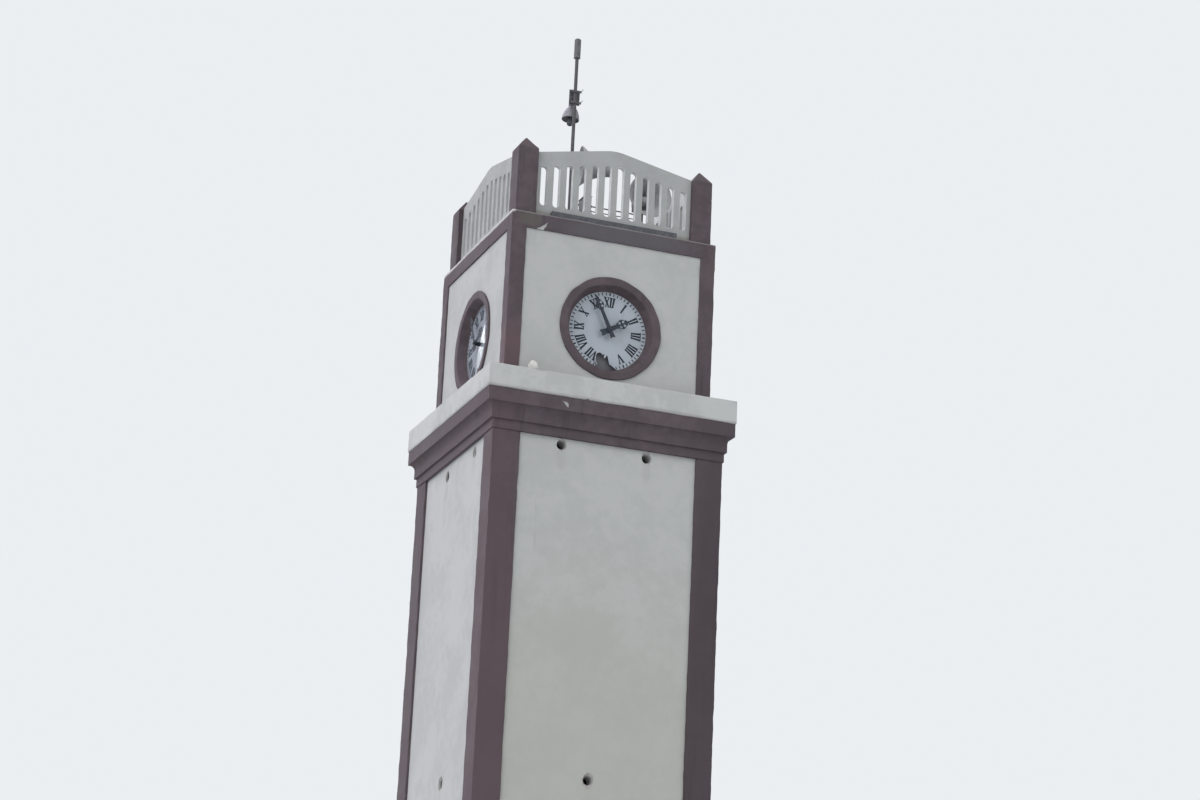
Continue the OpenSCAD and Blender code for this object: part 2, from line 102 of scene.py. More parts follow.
bpy.context.scene.view_settings.view_transform = "Standard"
surround = bpy.data.worlds.new("surround")
bpy.context.scene.world = surround
surround.use_nodes = True
sky = surround.node_tree
sky.nodes.clear()
ray = put(sky, "LightPath").outputs
seen = reckon(sky, "MAXIMUM", ray["Is Camera Ray"], ray["Is Glossy Ray"])
seen = reckon(sky, "MAXIMUM", seen, ray["Is Transmission Ray"])
ambient = put(sky, "Background", Color=(0.94, 0.97, 1.0), Strength=0.72)
backdrop = put(sky, "Background", Color=(0.83, 0.86, 0.89), Strength=1.0)
ways = put(sky, "SeparateXYZ", Vector=put(sky, "TexCoord").outputs["Generated"]).outputs
strip = step_up(sky, ways["X"], -0.254, -0.222)
for way, low, high in (("X", -0.09, -0.11), ("Y", 0.4, 0.6), ("Z", 0.05, 0.15)):
    strip = reckon(sky, "MULTIPLY", strip, step_up(sky, ways[way], low, high))
plain_light, strip_light = 0.70, 5.0
strip = reckon(sky, "MULTIPLY_ADD", strip, strip_light, plain_light)
mirrored = put(sky, "Background", Color=(0.95, 0.97, 1.0), Strength=strip)
backdrop = put(sky, "MixShader", _0=ray["Is Glossy Ray"], _1=backdrop.outputs[0], _2=mirrored.outputs[0])
both = put(sky, "MixShader", _0=seen, _1=ambient.outputs[0], _2=backdrop.outputs[0])
put(sky, "OutputWorld", Surface=both.outputs[0])


def lamp(name, toward, strength, softness, colour):
    """Adds a broad lamp that shines along a direction."""
    bpy.ops.object.light_add(type="SUN", location=(0, 0, 30))
    light = bpy.context.object
    light.name = name
    light.rotation_euler = Vector(toward).to_track_quat("-Z", "Y").to_euler()
    light.data.energy = strength
    light.data.angle = math.radians(softness)
    light.data.color = colour


lamp("key_lamp", (0.70, 0.42, -0.58), 1.15, 50, (1.0, 0.98, 1.0))
lamp("side_lamp", (-0.55, 0.62, -0.55), 0.35, 60, (1.0, 1.0, 1.0))
lamp("back_lamp", (0.62, -0.45, -0.64), 0.84, 50, (0.88, 0.79, 1.0))

# Studio floor: a plain disc of pale paper, level with the tower's foot. It lies far out on every side,
# so that its edge meets the backdrop out of the picture.
bpy.ops.object.select_all(action="DESELECT")
bpy.ops.mesh.primitive_circle_add(vertices=96, radius=70, fill_type="NGON", location=(0, 0, 0))
floor = bpy.context.object
floor.name = "floor"
paper = bpy.data.materials.new("floor_paper")
paper.use_nodes = True
paper.node_tree.nodes["Principled BSDF"].inputs["Base Color"].default_value = (0.74, 0.75, 0.76, 1)
paper.node_tree.nodes["Principled BSDF"].inputs["Roughness"].default_value = 0.9
floor.data.materials.append(paper)


# Painted piers of the shaft and the clock stage: brick cores plastered by hand and painted maroon, so
# their arrises are soft and sway a little. Rain has streaked the paint, and it is worn off the edges.
def effect(name, takes, gives):
    """Starts a group of shader nodes with named inputs and outputs."""
    tree = bpy.data.node_groups.new(name, "ShaderNodeTree")
    for label, kind, value in takes:
        socket = tree.interface.new_socket(label, in_out="INPUT", socket_type="NodeSocket" + kind)
        if value is not None:
            socket.default_value = value
    for label, kind in gives:
        tree.interface.new_socket(label, in_out="OUTPUT", socket_type="NodeSocket" + kind)
    return tree, tree.nodes.new("NodeGroupInput").outputs, tree.nodes.new("NodeGroupOutput").inputs


def clouds(tree, place, scale, detail, roughness=0.5):
    """Gives noise that varies over the surface."""
    return put(tree, "TexNoise", Vector=place, Scale=scale, Detail=detail, Roughness=roughness).outputs[0]


def tint(tree, mask, under, over):
    """Lays one colour over another through a mask."""
    return put(tree, "Mix", {"data_type": "RGBA"}, _0=mask, _6=under, _7=over).outputs[2]


# Height and blotches of plaster that was floated on by hand
relief, given, result = effect("trowelled_plaster", [("Place", "Vector", None), ("Grain", "Float", 90.0)],
                               [("Height", "Float"), ("Mottle", "Float")])
waves = clouds(relief, given["Place"], 1.6, 2.0)
strokes = clouds(relief, given["Place"], 8.0, 5.0, 0.62)
sand = clouds(relief, given["Place"], given["Grain"], 2.0)
height = reckon(relief, "MULTIPLY_ADD", strokes, 0.6, waves)
height = reckon(relief, "MULTIPLY_ADD", sand, 0.10, height)
relief.links.new(height, result["Height"])
blotch = reckon(relief, "ADD", waves, strokes)
relief.links.new(step_up(relief, blotch, 0.82, 1.22), result["Mottle"])

# Long narrow marks that rain leaves as it runs down
runs, given, result = effect("rain_marks", [("Place", "Vector", None), ("Spread", "Float", 9.0),
                                            ("Cover", "Float", 0.5)], [("Mask", "Float")])
narrow = put(runs, "CombineXYZ", X=given["Spread"], Y=given["Spread"], Z=0.55)
drawn = put(runs, "VectorMath", {"operation": "MULTIPLY"}, _0=given["Place"], _1=narrow.outputs[0])
threads = clouds(runs, drawn.outputs[0], 1.0, 4.0, 0.6)
patches = clouds(runs, given["Place"], 0.9, 2.0)
shift = reckon(runs, "MULTIPLY_ADD", given["Cover"], -0.35, 0.74)
lines = step_up(runs, reckon(runs, "SUBTRACT", threads, shift), 0.0, 0.16)
runs.links.new(reckon(runs, "MULTIPLY", lines, step_up(runs, patches, 0.36, 0.62)), result["Mask"])

# Edges where paint is rubbed or chipped away
worn, given, result = effect("worn_edges", [("Place", "Vector", None), ("Width", "Float", 0.012),
                                            ("Cover", "Float", 0.5)], [("Mask", "Float")])
rounded = put(worn, "Bevel", {"samples": 4}, Radius=given["Width"])
plain = put(worn, "NewGeometry")
near = put(worn, "VectorMath", {"operation": "DOT_PRODUCT"}, _0=rounded.outputs[0],
           _1=plain.outputs["Normal"])
edge = step_up(worn, near.outputs["Value"], 0.995, 0.90)
crumbs = clouds(worn, given["Place"], 16.0, 6.0, 0.7)
shift = reckon(worn, "MULTIPLY_ADD", given["Cover"], -0.45, 0.82)
chips = step_up(worn, reckon(worn, "SUBTRACT", crumbs, shift), 0.0, 0.05)
worn.links.new(reckon(worn, "MULTIPLY", edge, chips), result["Mask"])


def group(tree, effect_tree, **inputs):
    """Places an effect in a material."""
    return put(tree, "Group", {"node_tree": effect_tree}, **inputs).outputs


def blank(name):
    """Starts a material, and gives it with its nodes, its shader's inputs and the place on the piece."""
    made = bpy.data.materials.new(name)
    made.use_nodes = True
    tree = made.node_tree
    return made, tree, tree.nodes["Principled BSDF"].inputs, put(tree, "TexCoord").outputs["Object"]


def plaster_paint(name, paint, faded, soil_and_shadow, bare, grain=90.0, depth=0.004, streaks=0.5, wear=0.4, colour_spots=()):
    """Paint on plaster: faded blotches, rain marks, colour spots (stains, a painted shadow and a painted
    highlight), and bare plaster at worn edges.
    """
    made, tree, shader, place = blank(name)
    plaster = group(tree, relief, Place=place, Grain=grain)
    colour = tint(tree, plaster["Mottle"], paint, faded)
    marks = group(tree, runs, Place=place, Cover=streaks)["Mask"]
    colour = tint(tree, reckon(tree, "MULTIPLY", marks, 0.5), colour, soil_and_shadow)
    for spot, size, *own in colour_spots:
        off = put(tree, "VectorMath", {"operation": "SUBTRACT"}, _0=place, _1=spot)
        off = put(tree, "VectorMath", {"operation": "DIVIDE"}, _0=off.outputs[0], _1=size)
        far = put(tree, "VectorMath", {"operation": "LENGTH"}, _0=off.outputs[0])
        ragged = reckon(tree, "MULTIPLY_ADD", plaster["Height"], -0.5, far.outputs["Value"])
        colour = tint(tree, step_up(tree, ragged, 0.55, 0.0, 0.6), colour, own[0] if own else soil_and_shadow)
    colour = tint(tree, group(tree, worn, Place=place, Cover=wear)["Mask"], colour, bare)
    tree.links.new(colour, shader["Base Color"])
    rough = put(tree, "MapRange", Value=plaster["Mottle"], To_Min=0.66, To_Max=0.86)
    tree.links.new(rough.outputs[0], shader["Roughness"])
    bump = put(tree, "Bump", Strength=0.7, Distance=depth, Height=plaster["Height"])
    tree.links.new(bump.outputs[0], shader["Normal"])
    shader["Specular IOR Level"].default_value = 0.35
    return made


redder_foot = ((-1.25, -1.25, 13.0), (0.40, 0.40, 0.60), (0.122, 0.076, 0.084))
redder_pier = ((-1.40, -1.42, 8.5), (0.50, 0.50, 6.0), (0.092, 0.062, 0.069))
darker_pier = ((1.37, -1.40, 8.5), (0.50, 0.50, 6.0), (0.046, 0.034, 0.038))
maroon = plaster_paint("trim_paint", (0.071, 0.0535, 0.0595), (0.100, 0.079, 0.087), (0.040, 0.032, 0.035),
                       (0.36, 0.34, 0.33), streaks=0.65, wear=0.22,
                       colour_spots=(redder_foot, redder_pier, darker_pier))
sways = []
for scale in (0.16, 0.11, 0.23):
    sway = bpy.data.textures.new("plasterer_sway", "CLOUDS")
    sway.noise_scale = scale
    sway.noise_depth = 2
    sways.append(sway)


def copied(mesh, name):
    """Makes a new piece from a copy of a mesh."""
    piece = bpy.data.objects.new(name, mesh.copy())
    bpy.context.collection.objects.link(piece)
    return piece


def alone(piece):
    """Makes a piece the only one that is selected."""
    bpy.ops.object.select_all(action="DESELECT")
    bpy.context.view_layer.objects.active = piece
    piece.select_set(True)


def copy_of(source, ending="_plaster"):
    """Copies a node's solid as a new piece with its triangles joined, alone in the selection."""
    piece = copied(node[source].data, source + ending)
    alone(piece)
    piece.data.materials.clear()
    bpy.ops.object.mode_set(mode="EDIT")
    bpy.ops.mesh.select_all(action="SELECT")
    bpy.ops.mesh.remove_doubles(threshold=0.00002)
    bpy.ops.mesh.dissolve_limited(angle_limit=math.radians(0.3))
    bpy.ops.object.mode_set(mode="OBJECT")
    return piece


def finish_modifiers(piece):
    """Applies a piece's modifiers in their order."""
    alone(piece)
    for modifier in list(piece.modifiers):
        bpy.ops.object.modifier_apply(modifier=modifier.name)


def soften(piece, width):
    """Rounds a piece's edges."""
    arris = piece.modifiers.new("arris", "BEVEL")
    arris.width = width
    arris.segments = 2
    arris.limit_method = "ANGLE"
    arris.angle_limit = math.radians(30)
    arris.use_clamp_overlap = True
    finish_modifiers(piece)


def score(piece, gaps):
    """Cuts a piece across at even gaps along X, Y and Z, so that its edges can sway."""
    low = [min(v.co[k] for v in piece.data.vertices) for k in range(3)]
    high = [max(v.co[k] for v in piece.data.vertices) for k in range(3)]
    beside_corners = 0.0013
    bpy.ops.object.mode_set(mode="EDIT")
    for axis, gap in enumerate(gaps):
        if not gap:
            continue
        normal = [0.0, 0.0, 0.0]
        normal[axis] = 1.0
        count = max(1, round((high[axis] - low[axis]) / gap))
        for k in range(1, count):
            at = [0.0, 0.0, 0.0]
            at[axis] = low[axis] + (high[axis] - low[axis]) * k / count + beside_corners
            bpy.ops.mesh.select_all(action="SELECT")
            bpy.ops.mesh.bisect(plane_co=at, plane_no=normal)
    bpy.ops.object.mode_set(mode="OBJECT")


def sway_by(piece, amounts):
    """Lets a plastered piece sway by a few millimetres along X, Y and Z."""
    for axis, amount in enumerate(amounts):
        if amount:
            drift = piece.modifiers.new("sway", "DISPLACE")
            drift.texture = sways[axis]
            drift.texture_coords = "LOCAL"
            drift.direction = "XYZ"[axis]
            drift.strength = amount
            drift.mid_level = 0.5
    finish_modifiers(piece)


def done(piece, finish, body="tower", instead=(), smooth=35):
    """Keeps a piece inside the CAD's box, gives it its finish, shading and body, and hides the nodes it
    replaces.
    """
    for v in piece.data.vertices:
        v.co = [min(max(at, low), high) for at, low, high in zip(v.co, *cad_box)]
    alone(piece)
    if not piece.data.materials:
        piece.data.materials.append(finish)
    if smooth:
        bpy.ops.object.shade_smooth_by_angle(angle=math.radians(smooth))
        level = piece.modifiers.new("level", "WEIGHTED_NORMAL")
        level.keep_sharp = True
        finish_modifiers(piece)
    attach(piece, body)
    if instead:
        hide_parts(*instead)


top_in_beam = 0.016
for source, gap in (("shaft_piers", 0.05), ("stage_piers", 0.045)):
    piers = copy_of(source)
    top = max(v.co.z for v in piers.data.vertices)
    for v in piers.data.vertices:
        if v.co.z > top - 0.001:
            v.co.z += top_in_beam
    soften(piers, 0.010)
    score(piers, (0, 0, gap))
    sway_by(piers, (0.014, 0.014, 0))
    done(piers, maroon, instead=[source])

# Plinth: a painted concrete base that closes the shaft at the ground. It is cast in one with the ground
# floor, and wear has rounded its top edges.
plinth = copy_of("base_plinth")
soften(plinth, 0.014)
score(plinth, (0.15, 0.15, 0.15))
sway_by(plinth, (0.010, 0.010, 0.008))
done(plinth, maroon, instead=["base_plinth"])

# Wall panels of the shaft: plastered brick between the piers, painted off-white, and yellowed by dust low
# on the front. The plaster has broken away round each vent, and rain has left a stain under it.
faces = {"front": 0, "right": 90, "back": 180, "left": 270}
front_vents = ((-0.585, 11.990, 0.062), (0.490, 11.980, 0.064), (-0.060, 8.070, 0.072),
               (-0.060, 4.150, 0.076))
side_vents = ((-0.305, 11.920, 0.064), (0.710, 11.965, 0.063), (0.175, 8.080, 0.074),
              (0.175, 4.160, 0.070))
vents = {"front": front_vents, "right": side_vents, "back": front_vents, "left": side_vents}
panel_face, panel_half, half_in_piers = 1.420, 1.110, 1.125
chance = random.Random(7)
mortar = plaster_paint("broken_plaster", (0.33, 0.32, 0.30), (0.44, 0.43, 0.41), (0.16, 0.15, 0.14),
                       (0.42, 0.40, 0.37), grain=140.0, depth=0.010, streaks=0.2, wear=0.0)


def joined(pieces, name):
    """Joins pieces into one."""
    bpy.ops.object.select_all(action="DESELECT")
    for piece in pieces:
        piece.select_set(True)
    bpy.context.view_layer.objects.active = pieces[0]
    if len(pieces) > 1:
        bpy.ops.object.join()
    pieces[0].name = name
    return pieces[0]


def primitive(add, **settings):
    """Adds a primitive, alone in the selection, and puts its place and turn into its mesh."""
    bpy.ops.object.select_all(action="DESELECT")
    add(**settings)
    bpy.ops.object.transform_apply(location=True, rotation=True, scale=True)
    return bpy.context.object


def crater(place, width, depth, axis, rough, seed, tall=1.0):
    """A ragged plug of plaster that has fallen out round a place on a wall, as a cutter."""
    plug = primitive(bpy.ops.mesh.primitive_ico_sphere_add, subdivisions=3, radius=1.0, location=(0, 0, 0))
    size = Vector((width, width, width * tall))
    size[axis] = depth
    for v in plug.data.vertices:
        ragged = 1.0 + rough * noise.noise(v.co * 2.6 + Vector((seed, 0, 0)))
        v.co = Vector(v.co[k] * size[k] * ragged + place[k] for k in range(3))
    plug.data.materials.append(mortar)
    return plug


def carve(piece, cutters):
    """Takes what has broken away out of a piece. The break keeps the cutters' material."""
    cutter = joined(cutters, "cutter")
    cut = piece.modifiers.new("broken", "BOOLEAN")
    cut.operation = "DIFFERENCE"
    cut.solver = "EXACT"
    cut.use_self = True
    cut.material_mode = "TRANSFER"
    cut.object = cutter
    finish_modifiers(piece)
    bpy.data.objects.remove(cutter, do_unlink=True)


off_white, off_white_faded = (0.434, 0.443, 0.428), (0.405, 0.414, 0.402)
wall_soil, wall_bare = (0.24, 0.23, 0.20), (0.36, 0.34, 0.31)
drip, dust = (0.375, 0.38, 0.365), (0.380, 0.384, 0.338)
for side, turn in faces.items():
    wall = copy_of("shaft_wall_" + side)
    swing = Matrix.Rotation(math.radians(turn), 3, "Z")
    inward = swing @ Vector((0, 1, 0))
    drip_size = (0.07 + 0.30 * abs(inward.x), 0.07 + 0.30 * abs(inward.y), 0.24)
    colour_spots = [(swing @ Vector((x, -panel_face, z - 0.15)), drip_size, drip) for x, z, broken in vents[side]]
    if side == "front":
        colour_spots.append(((0, -panel_face, 6.9), (4.6, 1.0, 4.6), dust))
    panel_paint = plaster_paint("wall_paint_" + side, off_white, off_white_faded, wall_soil, wall_bare,
                                streaks=0.22, wear=0.15, colour_spots=colour_spots)
    wall.data.materials.append(panel_paint)
    across = 0 if turn % 180 == 0 else 1
    for v in wall.data.vertices:
        if abs(v.co[across]) > panel_half - 0.0005:
            v.co[across] *= half_in_piers / panel_half
    carve(wall, [crater(swing @ Vector((x, -panel_face, z)), broken, 0.030, 1 - across, 0.35,
                        chance.uniform(0, 50), 1.2) for x, z, broken in vents[side]])
    done(wall, panel_paint, instead=["shaft_wall_" + side])

# Vents of the shaft: short clay pipes built into the panels, which let air through. Two of them on the left
# are darkened near black.
pipe = primitive(bpy.ops.mesh.primitive_circle_add, vertices=40, radius=0.0590, fill_type="NOTHING",
                 location=(0, -1.400, 0), rotation=(math.pi / 2, 0, 0))
bpy.ops.object.mode_set(mode="EDIT")
bpy.ops.mesh.select_all(action="SELECT")
bpy.ops.mesh.extrude_region_move(TRANSFORM_OT_translate={"value": (0, 0.178, 0)})
bpy.ops.mesh.select_all(action="SELECT")
bpy.ops.mesh.normals_make_consistent(inside=False)
bpy.ops.object.mode_set(mode="OBJECT")
shell = pipe.modifiers.new("shell", "SOLIDIFY")
shell.thickness = 0.004
shell.offset = -1.0
finish_modifiers(pipe)


def turned(piece, turn):
    """Turns a piece's mesh about the tower's axis, to the face that it belongs to."""
    piece.data.transform(Matrix.Rotation(math.radians(turn), 4, "Z"))


pipes = []
for side, turn in faces.items():
    for x, z, broken in vents[side]:
        one = copied(pipe.data, "pipe")
        one.data.transform(Matrix.Translation((x, 0, z)))
        turned(one, turn)
        pipes.append(one)
bpy.data.objects.remove(pipe, do_unlink=True)
near_black = (0.02, 0.02, 0.022)
upper_vent = ((-1.39, 0.305, 11.92), (0.5, 0.35, 0.35), near_black)
lower_vent = ((-1.39, -0.175, 8.08), (0.5, 0.35, 0.35), near_black)
clay = plaster_paint("vent_clay", (0.41, 0.41, 0.40), (0.49, 0.48, 0.47), (0.22, 0.21, 0.20),
                     (0.2, 0.19, 0.18), grain=200.0, depth=0.001, wear=0.0,
                     colour_spots=(upper_vent, upper_vent, lower_vent))
done(joined(pipes, "vent_pipes"), clay)


# Cornice: a ring beam run with a template in cement, painted maroon, under a thick slab that is painted
# off-white. Water hangs at the slab's lower edge and stains it. A flake of paint is off the moulding's
# crown, and bits have been knocked off the slab.
def flake(outline, front, back, narrow=1.0):
    """A cutter with an uneven outline that goes into a wall which faces -Y. It can narrow as it goes in."""
    cutter = primitive(bpy.ops.mesh.primitive_circle_add, vertices=len(outline), radius=0.1,
                       fill_type="NGON", location=(0, 0, 0))
    for v, (x, z) in zip(cutter.data.vertices, outline):
        v.co = (x, front, z)
    middle = [sum(v.co[k] for v in cutter.data.vertices) / len(outline) for k in range(3)]
    bpy.ops.object.mode_set(mode="EDIT")
    bpy.ops.mesh.select_all(action="SELECT")
    bpy.ops.mesh.extrude_region_move(TRANSFORM_OT_translate={"value": (0, back - front, 0)})
    bpy.ops.transform.resize(value=(narrow, 1, narrow), center_override=middle)
    bpy.ops.mesh.select_all(action="SELECT")
    bpy.ops.mesh.normals_make_consistent(inside=False)
    bpy.ops.object.mode_set(mode="OBJECT")
    return cutter


def flaked(outline, face):
    """A place on a front face where the paint and its coat have flaked off down to a pale coat."""
    off = flake(outline, face - 0.02, face + 0.007, 0.94)
    off.data.materials.append(bare_coat)
    return off


def knocks(places, seed):
    """Cutters for bits that have been knocked off a piece's edges."""
    return [crater(Vector(place), size, size * 0.6, 2, 0.55, seed + 3.1 * k)
            for k, (place, size) in enumerate(places)]


bare_coat = plaster_paint("bare_coat", (0.43, 0.435, 0.425), (0.36, 0.36, 0.35), (0.22, 0.21, 0.20),
                          (0.43, 0.43, 0.42), grain=140.0, depth=0.006, streaks=0.2, wear=0.0)
moulding = copy_of("cornice_moulding")
soften(moulding, 0.004)
score(moulding, (0.10, 0.10, 0))
sway_by(moulding, (0.006, 0.006, 0.006))
moulding.data.materials.append(maroon)
crown_face = -1.558
crown_flake = ((-0.653, 12.482), (-0.590, 12.476), (-0.568, 12.455), (-0.570, 12.402), (-0.598, 12.428),
               (-0.628, 12.462))
carve(moulding, [flaked(crown_flake, crown_face)])
done(moulding, maroon, instead=["cornice_moulding"])
slab = copy_of("cornice_slab")
soften(slab, 0.012)
score(slab, (0.07, 0.07, 0))
sway_by(slab, (0.010, 0.010, 0.014))
all_along = 100
lower_edge = ((0, 0, 12.512), (all_along, all_along, 0.075))
# A painted shadow darkens the slab's top edge under the lump of mortar.
shadow_under_lump = ((-0.965, -1.565, 12.826), (0.13, 0.05, 0.035))
slab_paint = plaster_paint("slab_paint", (0.47, 0.48, 0.465), (0.42, 0.43, 0.42), (0.27, 0.26, 0.25),
                           wall_bare, streaks=0.45, wear=0.25, colour_spots=(lower_edge, shadow_under_lump))
slab.data.materials.append(slab_paint)
slab_knocks = (((-0.34, -1.570, 12.537), 0.030), ((0.512, -1.572, 12.822), 0.022),
               ((-1.570, 0.44, 12.537), 0.028))
carve(slab, knocks(slab_knocks, 11))
done(slab, slab_paint, instead=["cornice_slab"])

# Walls of the clock stage: plastered like the panels below, with the round opening that the ring lines.
# A lump of mortar was left on the slab at the foot of the front wall.
wall_half, wall_in_piers = 1.128, 1.145
wall_top, wall_in_beam = 14.661, 0.012
for side, turn in faces.items():
    wall = copy_of("stage_wall_" + side)
    across = 0 if turn % 180 == 0 else 1
    for v in wall.data.vertices:
        if abs(v.co[across]) > wall_half - 0.0005:
            v.co[across] *= wall_in_piers / wall_half
        if v.co.z > wall_top - 0.001:
            v.co.z += wall_in_beam
    stage_paint = plaster_paint("stage_paint_" + side, off_white, off_white_faded, wall_soil, wall_bare,
                                streaks=0.30, wear=0.10)
    done(wall, stage_paint, instead=["stage_wall_" + side])

lump_size, lump_place = 0.066, Vector((-0.995, -1.450, 12.880))
lump = primitive(bpy.ops.mesh.primitive_ico_sphere_add, subdivisions=4, radius=lump_size, location=(0, 0, 0))
lump.name = "mortar_lump"
for v in lump.data.vertices:
    swell = 1.0 + 0.22 * noise.noise(v.co * 18.0) + 0.06 * noise.noise(v.co * 60.0)
    squat = Vector((v.co.x * 0.92, v.co.y * 0.9, max(v.co.z * 1.1, -lump_size)))
    v.co = squat * swell + lump_place
fresh_mortar = plaster_paint("mortar", (0.66, 0.655, 0.62), (0.56, 0.555, 0.53), (0.35, 0.34, 0.32),
                             wall_bare, grain=200.0, depth=0.002, streaks=0.2, wear=0.0)
done(lump, fresh_mortar, smooth=60)

# Beam round the top of the stage and the posts on it: plastered and painted maroon. The coat has spalled
# off the left end of the front beam. Its top edge is chalky where water stands, with a painted highlight on
# the left face.
beam = copy_of("stage_beam")
soften(beam, 0.005)
score(beam, (0.07, 0.07, 0.05))
sway_by(beam, (0.014, 0.014, 0.012))
beam_face, top_arris = -1.318, 14.868
grey_patch = ((0.05, beam_face, 14.76), (1.25, 0.06, 0.20), (0.098, 0.099, 0.110))
left_end = ((-1.08, beam_face, 14.77), (0.20, 0.06, 0.12), (0.105, 0.096, 0.085))
front_chalk = ((0, beam_face, top_arris), (all_along, 0.05, 0.030), (0.26, 0.255, 0.25))
# Chalk and a painted highlight along the top arris of the left face.
left_chalk_and_highlight = ((beam_face, 0, top_arris), (0.06, all_along, 0.050), (0.85, 0.84, 0.82))
beam_chalk_and_highlight = plaster_paint("beam_paint", (0.071, 0.053, 0.060), (0.101, 0.078, 0.087), (0.040, 0.031, 0.034),
                       (0.40, 0.39, 0.38), streaks=0.7, wear=0.40,
                       colour_spots=(grey_patch, left_end, front_chalk, left_chalk_and_highlight))
beam.data.materials.append(beam_chalk_and_highlight)
beam_flake = ((-1.020, 14.640), (-1.004, 14.668), (-0.955, 14.694), (-0.902, 14.734), (-0.862, 14.770),
              (-0.880, 14.728), (-0.884, 14.704), (-0.902, 14.690), (-0.925, 14.640))
carve(beam, [flaked(beam_flake, beam_face)])
done(beam, beam_chalk_and_highlight, instead=["stage_beam"])
posts = copy_of("parapet_posts")
soften(posts, 0.010)
score(posts, (0.065, 0.065, 0.07))
sway_by(posts, (0.014, 0.014, 0))
posts.data.materials.append(maroon)
carve(posts, knocks((((1.268, -1.268, 15.46), 0.016),), 31))
done(posts, maroon, instead=["parapet_posts"])

# Parapet panels: thin reinforced concrete cast with its slots, painted off-white. Rain and smoke have
# dulled their outer faces. The reveals and inner faces carry a paler paint, which is painted light, and the
# reveals of the side panels a less pale one, which is painted shade.
parapet_paint = plaster_paint("parapet_paint", (0.355, 0.363, 0.357), (0.330, 0.338, 0.333), wall_soil,
                              wall_bare, grain=120.0, depth=0.003, streaks=0.10, wear=0.10,
                              colour_spots=(((0, 0, 14.87), (all_along, all_along, 0.10)),))
# Painted light: a paler paint for the reveals and inner faces.
reveals_painted_light = plaster_paint("reveal_paint_painted_light", (0.70, 0.715, 0.71), (0.62, 0.635, 0.63), (0.38, 0.37, 0.35),
                          wall_bare, grain=120.0, depth=0.003, streaks=0.15, wear=0.05)
# Painted shade: a less pale paint for the reveals of the side panels.
side_reveals_painted_shade = plaster_paint("side_reveal_paint_painted_shade", (0.46, 0.465, 0.46), (0.41, 0.415, 0.41), wall_soil, wall_bare,
                      grain=120.0, depth=0.003, streaks=0.15, wear=0.05)
for side, turn in faces.items():
    panel = copy_of("parapet_" + side)
    soften(panel, 0.005)
    for paint in (parapet_paint, reveals_painted_light, side_reveals_painted_shade):
        panel.data.materials.append(paint)
    outward = Matrix.Rotation(math.radians(turn), 3, "Z") @ Vector((0, -1, 0))
    for face in panel.data.polygons:
        if face.normal.dot(outward) > 0.5:
            face.material_index = 0
        elif abs(face.normal.y) > 0.5 and abs(outward.x) > 0.5:
            face.material_index = 2
        else:
            face.material_index = 1
    done(panel, parapet_paint, instead=["parapet_" + side])


# Roof slab: concrete cast on the walls, inside the beam, with a screed that was finished with a float and
# is stained where rain stands.
def dress(finish, *names):
    """Gives CAD nodes their finish."""
    for name in names:
        node[name].data.materials.clear()
        node[name].data.materials.append(finish)


screed = plaster_paint("roof_screed", (0.21, 0.205, 0.195), (0.29, 0.285, 0.27), (0.09, 0.09, 0.08),
                       (0.3, 0.3, 0.3), grain=60.0, depth=0.008, wear=0.0)
dress(screed, "roof_slab")

# Dial rings: plaster mouldings run round a trammel and painted maroon. The coat's edges are uneven where
# they were made good by hand, most of all low on the front ring and on the near side of the left one.
dial_height = 12.820 + 0.743
dial_face = 1.205
ring_edge, reveal_foot = 0.60, 0.05
uneven_edge, uneven_reveal = 0.010, 0.008
for side, turn in faces.items():
    ring = copy_of("dial_ring_" + side)
    turned(ring, -turn)
    for v in ring.data.vertices:
        x, z = v.co.x, v.co.z - dial_height
        r, out = math.hypot(x, z), -v.co.y - dial_face
        bearing = math.degrees(math.atan2(z, x))
        reach = 0.0
        if r > ring_edge:
            reach = uneven_edge * noise.noise(Vector((x * 6, z * 6, turn * 0.1)))
        elif out > reveal_foot:
            reach = uneven_reveal * noise.noise(Vector((x * 5, z * 5, 9 + turn * 0.1)))
            if side == "front":
                reach -= 0.014 * math.exp(-((bearing + 135) / 28) ** 2) * min(1.0, out / 0.1)
            if side == "left":
                reach = min(0.017, reach + 0.016 * math.exp(-((bearing + 5) / 50) ** 2))
        v.co.x += reach * x / r
        v.co.z += reach * z / r
    turned(ring, turn)
    sway_by(ring, (0.006, 0.006, 0.006))
    done(ring, maroon, instead=["dial_ring_" + side])

# Hours and minutes of the dials: painted on the opal sheet in black, four alike. The foot of the front
# dial has broken away, and the paint went with it.
hour_words = ("XII", "I", "II", "III", "IIII", "V", "VI", "VII", "VIII", "IX", "X", "XI")
letter_widths = {"I": 0.033, "V": 0.066, "X": 0.066}
foot, head, middle = 0.302, 0.430, 0.365
thick, thin, serif = 0.022, 0.011, 0.009
track_low, track_high, minute_width, hour_width = 0.449, 0.485, 0.012, 0.019
askew = 1.5


def bar(x, low, high, width, lean=0.0):
    """Adds one painted stroke, on the upright hour at the top of the dial, to the mesh being edited."""
    centre = (x, -dial_face, (low + high) / 2)
    bpy.ops.mesh.primitive_plane_add(size=1, location=centre, rotation=(math.pi / 2, 0, 0))
    bpy.ops.transform.resize(value=(width, 1, (high - low) / math.cos(lean)), center_override=centre)
    if lean:
        bpy.ops.transform.rotate(value=lean, orient_axis="Y", center_override=centre)


